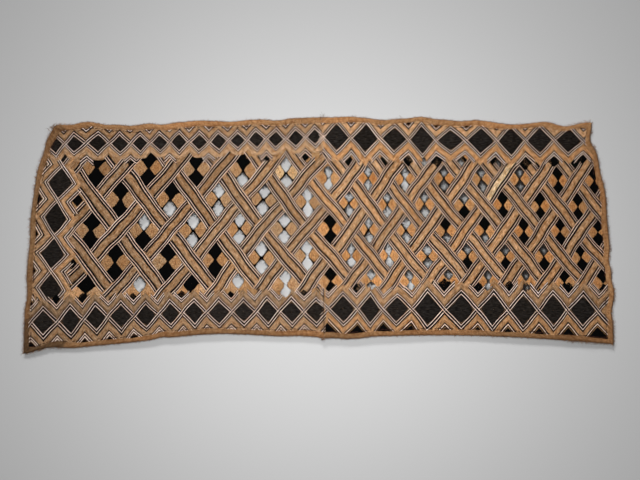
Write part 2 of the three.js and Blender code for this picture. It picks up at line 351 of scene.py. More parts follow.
def gap_outline(column, row, kind):
    centre = (1 - band_half(column)) / 2
    side = centre * GAP_HALF * (SEAM_GAP_SHARE if column == SEAM_COLUMN else 1)
    half = side * (1 - np.abs(LEVELS) ** GAP_ROUNDING) ** (1 / GAP_ROUNDING)
    down = (centre if kind == "bottom" else -centre) + LEVELS * side
    if kind == "both":
        down = np.concatenate([down[:-1], [0], centre + LEVELS[1:] * side])
        half = np.concatenate([half[:-1], [NECK_HALF], half[1:]])
    down = np.where((row == LAST_CELL_ROW) & (down > 0), down * LAST_ROW_SHARE, down)
    right = lattice(column + half, row + down, 0)
    left = lattice(column - half, row + down, 0)[::-1]
    return np.concatenate([right, left])


def small_gap(column, row):
    turn = np.linspace(0, 2 * math.pi, 12, endpoint=False)
    c, d = np.cos(turn), np.sin(turn)
    reach = NOTCH_HALF * (np.abs(c) ** GAP_ROUNDING + np.abs(d) ** GAP_ROUNDING) ** (-1 / GAP_ROUNDING)
    return lattice(column + reach * c, row + reach * d, 0)


def gap_outlines(panel):
    found = []
    for row, letters in OPEN_CELLS.items():
        for n, letter in enumerate(letters):
            column = 2 * n + row % 2
            if side_of(column) == panel:
                found += [gap_outline(column, row, kind) for kind in KINDS[letter]]
    if panel == "right":
        found += [small_gap(column, row) for column, row in NOTCH_GAPS]
    return found


GAPS = gap_outlines("left") + gap_outlines("right")


def in_gaps(points, grow=1.03):
    hit = np.zeros(len(points), bool)
    for gap in GAPS:
        middle = (gap.min(0) + gap.max(0)) / 2
        outline = middle + (gap - middle) * grow
        low, high = outline.min(0), outline.max(0)
        near = np.flatnonzero(((points > low) & (points < high)).all(1))
        if len(near):
            hit[near] |= inside(outline, points[near])
    return hit


print("gaps", len(GAPS))

# %% [markdown]
# Every stitched line and pile shape is a thin raised skin on the sheet. A layer collects such
# skins in millimetres, drops what would lie under the hem or another shape, and turns them into
# one mesh with the thread's own colour at each point, as one colour of thread was worked at once.

# %% Layers of worked shapes
rng = np.random.default_rng(28)


def lin(r, g, b):
    c = np.array([r, g, b], float) / 255
    return np.where(c > 0.04, ((c + 0.055) / 1.055) ** 2.4, c / 12.92)


def lift(x, y):
    """How far the cloth stands off the surface it lies on, at each place."""
    field = np.clip(1 - (x / 640) ** 6, 0, 1) * np.clip(1 - (y / 262) ** 4, 0, 1)
    wave = 0.9 * np.sin(x / 97 + 0.8) * np.sin(y / 61 + 0.4) + 0.6 * np.sin(x / 53 - y / 41)
    low_hem = 3.2 * np.exp(-((y + 250) / 60) ** 2) * (1 + 0.3 * np.sin(x / 71))
    slack = 2.5 * field * np.exp(-((x - 390) / 190) ** 2 - ((y - 60) / 150) ** 2)
    return np.clip(0.4 + 6.2 * field + wave * (0.3 + 0.7 * field) + low_hem + slack, 0, 8.7)


class Layer:
    def __init__(self):
        self.parts = []

    def grid(self, xy, z, tint, keep=None, uv=None):
        self.parts.append((np.asarray(xy, float), np.asarray(z, float), tint, keep, uv))

    def arrays(self):
        verts, quads, mids, keeps, tints, uvs, base = [], [], [], [], [], [], 0
        for xy, z, tint, keep, uv in self.parts:
            n, m = z.shape
            index = np.arange(n * m).reshape(n, m) + base
            quad = np.stack([index[:-1, :-1], index[1:, :-1], index[1:, 1:], index[:-1, 1:]], -1)
            mid = (xy[:-1, :-1] + xy[1:, :-1] + xy[1:, 1:] + xy[:-1, 1:]) / 4
            quads.append(quad.reshape(-1, 4))
            mids.append(mid.reshape(-1, 2))
            keeps.append(keep)
            verts.append(np.concatenate([xy.reshape(-1, 2), z.reshape(-1, 1)], 1))
            tints.append(np.broadcast_to(np.asarray(tint, float), (n, m, 3)).reshape(-1, 3))
            uvs.append(np.asarray(xy if uv is None else uv, float).reshape(-1, 2))
            base += n * m
        shown = []
        for test in set(keeps):
            mine = [i for i, keep in enumerate(keeps) if keep is test]
            quad = np.concatenate([quads[i] for i in mine])
            if test is not None:
                quad = quad[test(np.concatenate([mids[i] for i in mine]))]
            shown.append((min(mine), quad))
        shown = [quad for _, quad in sorted(shown, key=lambda part: part[0])]
        return np.concatenate(verts), np.concatenate(shown), np.concatenate(tints), np.concatenate(uvs)


def to_frame(verts):
    """From millimetres on the flat cloth to metres in the frame, lifted as the cloth lies."""
    out = np.array(verts, float)
    out[:, 2] += lift(out[:, 0], out[:, 1])
    out[:, :2] -= CENTRE
    return out / 1000


def placed(name, data):
    obj = bpy.data.objects.new(name, data)
    bpy.context.scene.collection.objects.link(obj)
    return obj


def mesh_object(name, verts, faces, tints, uvs, materials, upward=True, index=None):
    faces = np.asarray(faces)
    size = faces.shape[1]
    if upward:
        a, b = verts[faces[:, 2]] - verts[faces[:, 0]], verts[faces[:, size - 1]] - verts[faces[:, 1]]
        down = a[:, 0] * b[:, 1] - a[:, 1] * b[:, 0] < 0
        faces = np.where(down[:, None], faces[:, ::-1], faces)
    used, flat = np.unique(faces, return_inverse=True)
    faces = flat.reshape(faces.shape)
    points = to_frame(verts[used])
    mesh = bpy.data.meshes.new(name)
    mesh.vertices.add(len(points))
    mesh.vertices.foreach_set("co", points.astype(np.float32).ravel())
    mesh.loops.add(faces.size)
    mesh.loops.foreach_set("vertex_index", faces.astype(np.int32).ravel())
    mesh.polygons.add(len(faces))
    mesh.polygons.foreach_set("loop_start", np.arange(0, faces.size, size, dtype=np.int32))
    mesh.polygons.foreach_set("use_smooth", np.ones(len(faces), bool))
    for material in materials:
        mesh.materials.append(material)
    if index is not None:
        mesh.polygons.foreach_set("material_index", np.asarray(index, np.int32))
    mesh.update(calc_edges=True)
    colour = mesh.color_attributes.new("tint", "FLOAT_COLOR", "POINT")
    rgba = np.ones((len(used), 4), np.float32)
    rgba[:, :3] = tints[used]
    colour.data.foreach_set("color", rgba.ravel())
    layer = mesh.uv_layers.new(name="thread")
    layer.data.foreach_set("uv", (uvs[used][faces.ravel()] / 1000).astype(np.float32).ravel())
    mesh.validate()
    obj = placed(name, mesh)
    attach(obj, "root")
    print(name, len(faces), "faces")
    return obj


def layer_object(name, layer, material):
    verts, quads, tints, uvs = layer.arrays()
    obj = mesh_object(name, verts, quads, tints, uvs, [material])
    return obj


# %% [markdown]
# Raffia is a dry, matt leaf fibre with a faint sheen along its length. One material recipe
# serves every thread: the colour comes from the thread's own tint, broken up by fibre-sized
# noise stretched along the thread, with a small bump that makes cut pile or flat thread.

# %% Materials
def set_inputs(node, values):
    for name, value in values.items():
        node.inputs[name].default_value = value
    return node


def plain(name, colour, roughness, gloss):
    m = bpy.data.materials.new(name)
    m.use_nodes = True
    set_inputs(m.node_tree.nodes["Principled BSDF"], {
        "Base Color": (*colour, 1), "Roughness": roughness, "Specular IOR Level": gloss,
    })
    return m


def raffia(name, along, across, contrast, bump, sheen, worn_colour=(0.7, 0.62, 0.52), gloss=0.18):
    m = plain(name, (1, 1, 1), 0.92, gloss)
    nodes, links = m.node_tree.nodes, m.node_tree.links
    shader = set_inputs(nodes["Principled BSDF"], {"Sheen Weight": sheen, "Sheen Roughness": 0.5})
    tint = nodes.new("ShaderNodeVertexColor")
    tint.layer_name = "tint"
    uv = nodes.new("ShaderNodeUVMap")
    uv.uv_map = "thread"
    stretch = set_inputs(nodes.new("ShaderNodeMapping"), {"Scale": (along, across, 1)})
    fibre = nodes.new("ShaderNodeTexNoise")
    set_inputs(fibre, {"Scale": 1.0, "Detail": 3.0, "Roughness": 0.65})
    spread = nodes.new("ShaderNodeMapRange")
    set_inputs(spread, {"From Min": 0.3, "From Max": 0.7, "To Min": 1 - contrast, "To Max": 1 + contrast})
    scale = nodes.new("ShaderNodeVectorMath")
    scale.operation = "SCALE"
    # worn blotches over the thread's own colour
    blotch = nodes.new("ShaderNodeTexNoise")
    set_inputs(blotch, {"Scale": 130.0, "Detail": 4.0, "Roughness": 0.7})
    worn = set_inputs(nodes.new("ShaderNodeMixRGB"), {"Color2": (*worn_colour, 1)})
    worn.blend_type = "MULTIPLY"
    wear = set_inputs(nodes.new("ShaderNodeMapRange"), {"From Min": 0.44, "From Max": 0.62})
    relief = set_inputs(nodes.new("ShaderNodeBump"), {"Strength": bump, "Distance": 0.0012})
    for source, output, target, into in (
        (uv, "UV", stretch, "Vector"),
        (stretch, "Vector", fibre, "Vector"),
        (fibre, "Fac", spread, "Value"),
        (uv, "UV", blotch, "Vector"),
        (blotch, "Fac", wear, "Value"),
        (wear, "Result", worn, "Fac"),
        (tint, "Color", worn, "Color1"),
        (worn, "Color", scale, 0),
        (spread, "Result", scale, "Scale"),
        (scale, "Vector", shader, "Base Color"),
        (fibre, "Fac", relief, "Height"),
        (relief, "Normal", shader, "Normal"),
    ):
        links.new(source.outputs[output], target.inputs[into])
    return m


PILE = raffia("cut_pile", 75, 380, 0.62, 1.0, 0.08, (0.6, 0.44, 0.28))
BLACK_PILE = raffia("black_pile", 420, 420, 0.6, 0.8, 0.01, gloss=0.08)
BORDER_PILE = raffia("border_pile", 90, 420, 1.0, 0.8, 0.01, gloss=0.08)
THREAD = raffia("flat_thread", 200, 700, 0.34, 0.5, 0.04, (0.7, 0.58, 0.5))
WEAVE = raffia("plain_weave", 420, 420, 0.42, 0.9, 0.1, (0.6, 0.48, 0.36))

GOLD = {"left": lin(167, 134, 101), "right": lin(190, 150, 110)}
CREAM = lin(250, 226, 210)
DARK = lin(9, 2, 2)
BLACK = lin(2, 2, 2)
BORDER_BLACK = lin(36, 32, 29)
HEM_GOLD = lin(163, 120, 80)
GROUND = lin(172, 132, 90)
STITCH_BROWN = lin(52, 26, 16)
print("materials", [m.name for m in (PILE, BLACK_PILE, BORDER_PILE, THREAD, WEAVE)])

# %% [markdown]
# A band is worked as a dark bed with pale lines on it and a broad strip of gold pile down the
# middle. Where it passes over another band it is whole, and it stops at the edges of the bands
# that pass over it, as the stitches on a flat ground really do.

# %% Worked bands
# middle of each pale line as a share of the band's half-width, its own half-width in
# millimetres, and the gold strip's share of the band
BAND_LINES = {
    "left": {"cream": ((0.9, 1.0), (0.63, 1.0)), "gold": 0.42},
    "right": {"cream": ((0.9, 0.95), (0.64, 0.95)), "gold": 0.43},
}
# One stretch of band was worked afresh in pale thread with bolder lines.
PALE_BAND = (19, 0)
PALE_GOLD = lin(222, 196, 158)
BOLD_LINES = ((1.0, 0.8), (0.66, 1.0))
# sections across a strip, as (share of its width, share of its height)
SOFT = ((0, 0), (0.18, 0.85), (0.5, 1), (0.82, 0.85), (1, 0))
CORD = ((0, 0), (0.25, 0.9), (0.75, 0.9), (1, 0))
FLAT = ((0, 0), (0.04, 1), (0.96, 1), (1, 0))
WIDE = tuple((f, min(1.0, f * 25, (1 - f) * 25)) for f in (0, 0.04, 0.15, 0.3, 0.45, 0.6, 0.75, 0.9, 0.96, 1))
# how high each skin starts and how far it rises, in millimetres
BED, PALE_LINE, GOLD_STRIP = (1.3, 0.6), (1.5, 0.9), (1.5, 1.25)
# Painted shade and highlight across a strip of pile: darker along its two sides and lighter along its middle,
# as light falls on a rounded strip.
PAINTED_ROUND_SHADE = np.array([0.7, 0.97, 1.12, 0.97, 0.7])[None, :, None]
# The pale lines of the second panel have browned more.
CREAM_TONE = {"left": np.array([0.92, 0.88, 0.84]), "right": np.array([0.82, 0.75, 0.69])}
# millimetres in one unit of the lattice across a band
PITCH_MM = {"left": 43.7, "right": 35.3}
# Each strip takes its grain from another place of the noise.
GRAIN_SHIFT = 900


def run_along(line):
    """How far each point of a line lies along it."""
    return np.concatenate([[0], np.cumsum(np.hypot(*np.diff(line, axis=0).T))])


def strip(layer, point, along, low, high, base, rise, tint, keep=None, profile=None, ends=0.0):
    """A raised strip between two lines of the worked space, along its length."""
    f, h = np.array(profile or SOFT, float).T
    n = len(along)
    low, high = np.broadcast_to(low, n), np.broadcast_to(high, n)
    aside = low[:, None] + (high - low)[:, None] * f
    a = np.broadcast_to(along[:, None], aside.shape)
    xy = point(a, aside)
    run = run_along(xy[:, 0])
    width = np.hypot(*(xy[:, -1] - xy[:, 0]).T).mean()
    u = np.linspace(0, 1, n)
    taper = 1 - ends * (1 - np.clip(np.minimum(u, 1 - u) * n / 1.5, 0, 1))
    z = base + rise * h[None] * taper[:, None]
    long_way = run[:, None] + rng.uniform(0, GRAIN_SHIFT)
    cross_way = width * f[None] + rng.uniform(0, GRAIN_SHIFT)
    layer.grid(xy, z, tint, keep, np.stack(np.broadcast_arrays(long_way, cross_way), -1))


def keep_out_of(points, zones, names):
    ok = inside(HEM_MIDDLE, points)
    for name in names:
        ok &= ~inside(zones[name], points)
    return ok


def keep_in_field(points):
    return keep_out_of(points, ZONES, CHAINS)


def keep_clear(points):
    return keep_out_of(points, WIDE_ZONES, CHAINS) & ~in_gaps(points, 1.07)


def wander(n, size, waves=2):
    u = np.linspace(0, 1, n)
    out = 0
    for _ in range(waves):
        out = out + np.sin(2 * math.pi * (rng.uniform(0.4, 1.8) * u + rng.uniform()))
    return size * out / waves


def band_point(column, row):
    rising = row % 2 == 0

    def point(along, aside):
        p, q = (along, aside) if rising else (aside, along)
        return lattice(column + (p + q) / 2, row + (q - p) / 2)

    return point


def vary(tint, hue=0.08, light=0.07):
    """One thread's colour, a little off its neighbours'."""
    shift = 1 + rng.normal(0, light)
    warm = rng.normal(0, hue)
    return np.asarray(tint) * shift * np.array([1, 1 + warm * 0.4, 1 + warm])


pile = {"left": Layer(), "right": Layer()}
cream, dark = Layer(), Layer()
# A stretch that is cut off at a border needs more steps for a clean cut.
CUT_STEPS, PLAIN_STEPS = 57, 17
crossings = 0
for column in range(-3, 28):
    side = side_of(column)
    for row in range(-2, 7):
        if (column + row) % 2 == 0:
            continue
        crossings += 1
        half = band_half(column)
        reach = 2 - half - 0.02
        point = band_point(column, row)
        trimmed = row < 1 or row > 3 or column < 2 or column > 23
        n = CUT_STEPS if trimmed else PLAIN_STEPS
        along = np.linspace(-reach, reach, n)
        slip = rng.normal(0, 0.01) + wander(n, 0.008)
        body = half * (1 + rng.normal(0, 0.02)) * (1 + wander(n, 0.03))
        pale = (column, row) == PALE_BAND
        tint = BLACK if pale else vary(DARK)
        section = WIDE if trimmed else FLAT
        strip(dark, point, along, slip - body, slip + body, *BED, tint, keep_in_field, section)
        lines = BAND_LINES[side]
        for sign in (-1, 1):
            for middle, wide in BOLD_LINES if pale and sign > 0 else lines["cream"]:
                centre = slip + sign * middle * body + wander(n, 0.006)
                w = wide / PITCH_MM[side]
                tint = vary(CREAM, 0.05, 0.1) * CREAM_TONE[side]
                strip(cream, point, along, centre - w, centre + w, *PALE_LINE, tint, keep_in_field, CORD, 0.5)
        core = lines["gold"] * body
        # the gold strip carries painted shade and highlight across it
        tint = (PALE_GOLD if pale else vary(GOLD[side])) * PAINTED_ROUND_SHADE
        strip(pile[side], point, along, slip - core, slip + core, *GOLD_STRIP, tint, keep_in_field, SOFT, 0.6)
print("crossings", crossings)

# %% [markdown]
# In each cell between the bands four lozenges of pile meet at a point. The left and right ones
# are gold, the upper and lower ones are black, or cut through so that the surface behind shows.

# %% Lozenges in the cells
# The gold lozenges show cut ends, so their grain has no direction. This scale of their thread
# coordinates evens out the long noise of the pile.
CUT_END_SCALE = np.array([4.0, 0.8])
# rings from the edge to the middle, as (share of the size, share of the height)
RINGS = ((1.0, 0), (0.93, 0.72), (0.72, 0.96), (0.4, 1.0), (0.02, 1.0))
FINE_RINGS = (
    (1.0, 0), (0.93, 0.72), (0.83, 0.9), (0.72, 0.96), (0.6, 1), (0.48, 1), (0.36, 1), (0.24, 1),
    (0.12, 1), (0.01, 1),
)
# steps round a lozenge that a border or the hem cuts, and round any other
CUT_TURNS, PLAIN_TURNS = 44, 20


def lozenge(
    layer, point, cx, cy, half_x, half_y, base, rise, tint, keep, power, rough, n=PLAIN_TURNS, stain=None
):
    """A rounded lozenge of pile with a hand-worked edge. A stain darkens its middle."""
    turn = np.linspace(0, 2 * math.pi, n + 1)
    c, s = np.cos(turn), np.sin(turn)
    reach = (np.abs(c) ** power + np.abs(s) ** power) ** (-1 / power)
    waves = sum(np.sin(k * turn + rng.uniform(0, 6.28)) * rng.uniform(0.3, 1) for k in (2, 3, 5))
    edge = 1 + rough * waves / 1.6
    rings, heights = np.array(FINE_RINGS if n == CUT_TURNS else RINGS, float).T
    r = reach[:, None] * edge[:, None] * rings[None]
    xy = point(cx + half_x * r * c[:, None], cy + half_y * r * s[:, None])
    z = base + rise * np.broadcast_to(heights, r.shape)
    thread = None
    if stain is not None:
        thread = xy * CUT_END_SCALE
        deep = np.clip(1.1 - rings * rng.uniform(1.1, 1.7), 0, 1)[None, :, None] * rng.uniform(0.2, 1.0)
        tint = np.asarray(tint) * (1 - deep * (1 - np.asarray(stain))) * np.ones((n + 1, 1, 1))
    layer.grid(xy, z, tint, keep, thread)


field_black = Layer()
GOLD_CELL = {"left": lin(182, 145, 106), "right": lin(200, 152, 102)}
PALE_CELL = lin(226, 194, 150)
LOW_CELL = lin(200, 159, 117)
# how much of its quarter of the cell a gold lozenge fills
CELL_FILL = {"left": 0.87, "right": 0.91}
# how much of each colour is left in the worn middle of a gold lozenge
STAIN = {"left": (0.84, 0.7, 0.55), "right": (0.84, 0.62, 0.4)}
# Beside the border's column two cells hold only a small black lozenge.
# row: column and row of its middle, and its half-width and half-height
NESTED = {1: (-0.62, 1.02, 0.19, 0.19), 3: (-0.6, 3.07, 0.17, 0.17)}


def cell_tone(column, row):
    if row == LAST_CELL_ROW and column < SEAM_COLUMN:
        return LOW_CELL
    if row == 0 and 6 < column < SEAM_COLUMN:
        return PALE_CELL
    return GOLD_CELL[side_of(column)]


count = 0
for column in range(-2, 27):
    side = side_of(column)
    for row in range(-1, 6):
        if (column + row) % 2:
            continue
        part = (1 - band_half(column)) / 2
        letter = open_letter(column, row)
        if column == -1:
            if row in NESTED:
                lozenge(field_black, lattice, *NESTED[row], 1.9, 0.9, BLACK, keep_clear, 1.1, 0.04)
            continue
        turns = CUT_TURNS if row in (-1, 0, LAST_CELL_ROW) or column in (0, 25) else PLAIN_TURNS
        for sign in (-1, 1):
            size = part * rng.normal(CELL_FILL[side], 0.035)
            lozenge(
                pile[side], lattice, column + sign * part * 1.05, row + rng.normal(0, 0.015), size, size,
                1.4, 1.0, vary(cell_tone(column, row), 0.12, 0.08), keep_clear, 1.16, 0.06, turns,
                stain=STAIN[side],
            )
        for sign, letters in ((-1, OPEN_TOP), (1, OPEN_BOTTOM)):
            if letter in letters:
                continue
            lozenge(
                field_black, lattice, column, row + sign * part * 1.03, part * 1.24, part * 1.12,
                1.3, 0.8, BLACK, keep_clear, 1.3, 0.09, turns,
            )
            count += 1
print("black lozenges in the field", count)

# %% [markdown]
# The chain's lines are two strands that zigzag from corner to corner and cross between the
# lozenges, one always on top. Each strand is a pair of pale lines on a dark bed. The lozenges
# between them are dense dark pile, and plain gold zigzags run along both sides.

# %% Border chains: where their lines run
border_black = Layer()
CHAIN_SIDE = {name: "right" if name.endswith("right") else "left" for name in CHAINS}
# where along s the lines of each chain start and end
CHAIN_EXTENT = per_chain((-3, 25), (-1, 18), (-2, 23), (-1, 18), (-2, 7))
# how far a chain may reach over the seam, in millimetres
SEAM_REACH = 5


def make_keep(name):
    beside = ("top_left", "bottom_left") if name == "column" else ()

    def keep(points):
        ok = keep_out_of(points, ZONES, beside)
        if name in ("top_left", "bottom_left"):
            ok &= points[:, 0] < seam_at(points[:, 1]) + SEAM_REACH
        if name in ("top_right", "bottom_right"):
            ok &= points[:, 0] > seam_at(points[:, 1]) - SEAM_REACH
        return ok & ~in_gaps(points)

    return keep


KEEP_CHAIN = {name: make_keep(name) for name in CHAINS}


def zigzag(layer, name, low, high, base, rise, tint, profile=SOFT, s_values=None):
    """A strip that follows the chain's zigzag outline, at a depth on its outer or inner side."""
    first, last = CHAIN_EXTENT[name]
    side = OUTER[name] if low >= 0 else -OUTER[name]
    s = np.linspace(first, last, (last - first) * 4 + 1) if s_values is None else s_values
    shake = wander(len(s), 0.03, 6)

    def point(a, aside):
        return chain_point(name, a, side * (tri(a) + aside + np.interp(a, s, shake)))

    far = abs(high) - (blunt(name, s) if low < 0 else 0)
    strip(layer, point, s, abs(low), far, base, rise, tint, KEEP_CHAIN[name], profile)


def chain_lozenge(layer, name, s, t, size, base, rise, tint, power, rough, turns):
    def point(x, y):
        return chain_point(name, x, y)

    lozenge(layer, point, s, t, size, size, base, rise, tint, KEEP_CHAIN[name], power, rough, turns)


print("chains", CHAIN_EXTENT)

# %% [markdown]
# Where two pairs of lines cross, the lower pair stops on both sides of the upper one, as its
# stitches do. So a chain has one climbing pair and one falling pair from lozenge to lozenge.

# %% Border chains: crossing pairs of lines
# the pair on top: 1 where t rises with s, -1 where it falls
ON_TOP = per_chain(1, -1, 1, -1, 1)
TOP_PAIR, UNDER_PAIR = 1.85, 1.5
# half-width of one pale line of a pair, in millimetres
PAIR_LINE = 1.25


def line_pairs(name, k):
    w = CHAINS[name]["pair"]
    thin = PAIR_LINE / CHAINS[name]["half"]
    for way in (1, -1):
        on_top = way == ON_TOP[name]
        base = TOP_PAIR if on_top else UNDER_PAIR
        steps = 9 if on_top else 5
        pieces = [(0.0, 2.0)] if on_top else [(0.0, 1 - w * 0.3), (1 + w * 0.3, 2.0)]
        for start, end in pieces:
            a = np.linspace(start, end, steps)

            def point(along, aside, way=way):
                return chain_point(name, 2 * k + along, way * (along - 1) + aside)

            strip(dark, point, a, -w, w, base, 0.6, vary(DARK), KEEP_CHAIN[name], FLAT)
            for sign in (-1, 1):
                mid = sign * w * 0.52 + wander(steps, 0.01)
                tint = vary(CREAM, 0.05, 0.1)
                strip(cream, point, a, mid - thin, mid + thin, base + 0.2, 0.95, tint, KEEP_CHAIN[name], CORD)


def chain_core(name):
    """The crossing pairs of a chain and the dark lozenges between them."""
    c = CHAINS[name]
    first, last = CHAIN_EXTENT[name]
    for k in range(math.floor(first / 2), math.ceil(last / 2)):
        line_pairs(name, k)
        if 0 <= k < c["n"] or (name in ("top_left", "column") and k == -1):
            tint = vary(BORDER_BLACK, 0.05, 0.1)
            chain_lozenge(border_black, name, 2 * k, 0, 1 - c["pair"], 1.4, 1.0, tint, 1.04, 0.02, 24)


# %% [markdown]
# Along both sides of a chain runs a gold zigzag. Pale lines nest against the outer one up to the
# hem, and against the inner one in each notch, where the maker put a bit of black pile now and
# then. They are all strips at a depth from the chain's own outline.

# %% Border chains: zigzags and nested lines
# how light the gold of each chain is beside the field's
CHAIN_LIGHT = per_chain(1.4, 1.27, 0.84, 0.86, 1.4)
# How far the nested lines at the hem reach, in line widths. They leave room for one pale line, and
# where it is more than 4.6, for two.
HEM_NEST = per_chain(3.0, 2.6, 4.7, 3.4, 4.7)
# how far along s the lines of a notch run from its middle
NOTCH_SPREAD = 0.62
# notches with a bit of black pile, and its size
NOTCH_BLACK = per_chain(
    (5, 19, 23), (5, 7, 11, 13, 15, 17), (1, 3, 7, 11, 15, 21), (1, 7, 9, 11, 15), ()
)
NOTCH_SIZE = per_chain(0.34, 0.38, 0.3, 0.32, 0)


def side_zigzags(name):
    c = CHAINS[name]
    layer, gold = pile[CHAIN_SIDE[name]], GOLD[CHAIN_SIDE[name]] * CHAIN_LIGHT[name]
    w, line, thin = c["pair"], LINE / c["half"], 1.1 * LINE / c["half"]
    edge = w + c["out"]
    zigzag(dark, name, w * 0.8, edge + HEM_NEST[name] * line, 1.4, 0.5, vary(DARK), WIDE)
    # both gold zigzags carry painted shade and highlight across them
    zigzag(layer, name, w * 1.08, edge, 1.5, 1.2, vary(gold) * PAINTED_ROUND_SHADE)
    for low in [edge + place * line for place in (0.8, 3.1) if place + 1.5 < HEM_NEST[name]]:
        zigzag(cream, name, low, low + thin, 1.6, 0.9, vary(CREAM), CORD)
    zigzag(layer, name, -w * 1.08, -(w + c["inn"]), 1.7, 1.35, vary(gold) * PAINTED_ROUND_SHADE)


def notch_lines(name, s0):
    c = CHAINS[name]
    line, thin = LINE / c["half"], 1.1 * LINE / c["half"]
    s = np.linspace(s0 - NOTCH_SPREAD, s0 + NOTCH_SPREAD, 13)
    depth = c["pair"] + c["inn"]
    zigzag(dark, name, -(depth - 0.03), -(depth + NOTCH_DEPTH * line), 1.5, 0.5, vary(DARK), WIDE, s)
    for n in range(2):
        low = depth + (0.8 + 2.35 * n) * line
        zigzag(cream, name, -low, -(low + thin), 1.7, 0.7, vary(CREAM), CORD, s)
    if s0 in NOTCH_BLACK[name]:
        size = NOTCH_SIZE[name] * rng.uniform(0.85, 1.15)
        middle = -OUTER[name] * (depth + NOTCH_DEPTH * line + size * 0.9)
        chain_lozenge(field_black, name, s0, middle, size, 1.5, 1.5, BLACK, 1.1, 0.1, 28)


for name in CHAINS:
    chain_core(name)
    side_zigzags(name)
    for s0 in NOTCH_LINES[name]:
        notch_lines(name, s0)
print("dark strips", len(dark.parts), "pale lines", len(cream.parts), "lozenges", len(border_black.parts))

# %% [markdown]
# Between the outer zigzag and the hem a small triangle is left at each crossing. Along the upper
# left border it is filled with a little gold, and along all the others with black pile.

# %% Small triangles at the hem
TRIANGLE_STEPS = np.array([0, 0.06, 0.15, 0.3, 0.45, 0.6, 0.75, 0.9, 1.0])
# t where a triangle ends under the hem, and where no room is left for one
TRIANGLE_END, TRIANGLE_LAST = 1.7, 1.6
count = 0
for name, c in CHAINS.items():
    side = CHAIN_SIDE[name]
    black_fill = name != "top_left"
    layer = field_black if black_fill else pile[side]
    depth = c["pair"] + c["out"] + (HEM_NEST[name] + 0.1) * LINE / c["half"]
    if depth > TRIANGLE_LAST:
        continue
    first, last = CHAIN_EXTENT[name]
    for s0 in range(first | 1, last + 1, 2):
        s = np.linspace(s0 - 0.7, s0 + 0.7, 11)
        low = OUTER[name] * (np.abs(s - s0) + depth)
        high = np.full_like(low, OUTER[name] * TRIANGLE_END)
        t = low[:, None] + (high - low)[:, None] * TRIANGLE_STEPS
        xy = chain_point(name, np.broadcast_to(s[:, None], t.shape), t)
        z = 1.4 + np.broadcast_to(np.minimum(TRIANGLE_STEPS * 6, 0.8), t.shape)
        layer.grid(xy, z, BLACK if black_fill else vary(GOLD[side] * 0.85), KEEP_CHAIN[name])
        count += 1
print("triangles at the hem", count)

# %% [markdown]
# The ground is plain-woven raffia, less than two millimetres thick. The cut lozenges are real
# holes in it, so the sheet is filled as triangles between its edge and the rims of the holes,
# with a loose grid of points inside that lets it rise and fall a little.

# %% Ground sheets
GROUND_THICKNESS = 1.6
# distance of the loose points, and how far each may stray
LOOSE_STEP, LOOSE_STRAY = 11, 1.5
DYED = plain("dyed_ground", lin(5, 5, 5), 0.95, 0.03)


def polygon_area(points):
    x, y = points[:, 0], points[:, 1]
    return abs(np.sum(x * np.roll(y, -1) - y * np.roll(x, -1))) / 2


def in_cells(points):
    """Which places lie in the dark ground of the cells, between the bands."""
    hit = np.zeros(len(points), bool)
    for column in range(0, 26):
        for row in range(0, 4):
            if (column + row) % 2 or (column == SEAM_COLUMN and row < 2):
                continue
            r = 1 - band_half(column) + 0.12
            c = np.array([column, column + r, column, column - r], float)
            q = np.array([row - r, row, row + r, row], float)
            hit |= inside(lattice(c, q), points)
    return hit & keep_in_field(points)


def ground(panel):
    rim = panel_line(panel, HEM_WIDTH * 0.5)
    gaps = gap_outlines(panel)
    loops = [rim] + gaps
    low, high = rim.min(0), rim.max(0)
    gx, gy = np.meshgrid(*(np.arange(low[i], high[i], LOOSE_STEP) for i in (0, 1)))
    loose = np.stack([gx.ravel(), gy.ravel()], 1) + rng.uniform(-LOOSE_STRAY, LOOSE_STRAY, (gx.size, 2))
    ok = inside(panel_line(panel, HEM_WIDTH), loose)
    for gap in gaps:
        middle = gap.mean(0)
        close = np.hypot(*(loose - middle).T) < 40
        ok &= ~(close & inside(middle + (gap - middle) * 1.12, loose))
    loose = loose[ok]
    points, edges = [], []
    for loop in loops:
        start = sum(len(p) for p in points)
        n = len(loop)
        points.append(loop)
        edges += [(start + i, start + (i + 1) % n) for i in range(n)]
    points.append(loose)
    every = np.concatenate(points)
    made = delaunay_2d_cdt([Vector(p) for p in every], edges, [], 0, 1e-5)
    flat = np.array([tuple(v) for v in made[0]])
    tris = np.array([f for f in made[2] if len(f) == 3])
    mid = flat[tris].mean(1)
    ok = inside(rim, mid)
    for gap in gaps:
        ok &= ~inside(gap, mid)
    tris, mid = tris[ok], mid[ok]
    a, b, c = (flat[tris[:, i]] for i in range(3))
    turn = (b - a)[:, 0] * (c - a)[:, 1] - (b - a)[:, 1] * (c - a)[:, 0]
    tris = np.where((turn < 0)[:, None], tris[:, ::-1], tris)
    sides = np.concatenate([tris[:, [0, 1]], tris[:, [1, 2]], tris[:, [2, 0]]])
    key = {(i, j) for i, j in sides.tolist()}
    open_sides = np.array([(i, j) for i, j in sides.tolist() if (j, i) not in key])
    n = len(flat)
    i, j = open_sides[:, 0], open_sides[:, 1]
    walls = np.concatenate([np.stack([i, i + n, j + n], 1), np.stack([i, j + n, j], 1)])
    verts = np.concatenate([
        np.concatenate([flat, np.full((n, 1), GROUND_THICKNESS)], 1),
        np.concatenate([flat, np.zeros((n, 1))], 1),
    ])
    faces = np.concatenate([tris, tris[:, ::-1] + n, walls])
    index = np.concatenate([in_cells(mid) * 1, np.zeros(len(tris), int), np.ones(len(walls), int)])
    tints = np.broadcast_to(GROUND, (2 * n, 3)).copy()
    name = f"{panel}_ground"
    obj = mesh_object(name, verts, faces, tints, verts[:, :2], [WEAVE, DYED], upward=False, index=index)
    area = polygon_area(panel_line(panel)) - sum(polygon_area(g) for g in gaps)
    print(panel, "gaps", len(gaps), "area m2", round(area / 1e6, 4))
    return obj, area / 1e6


grounds = {panel: ground(panel) for panel in SIDES}

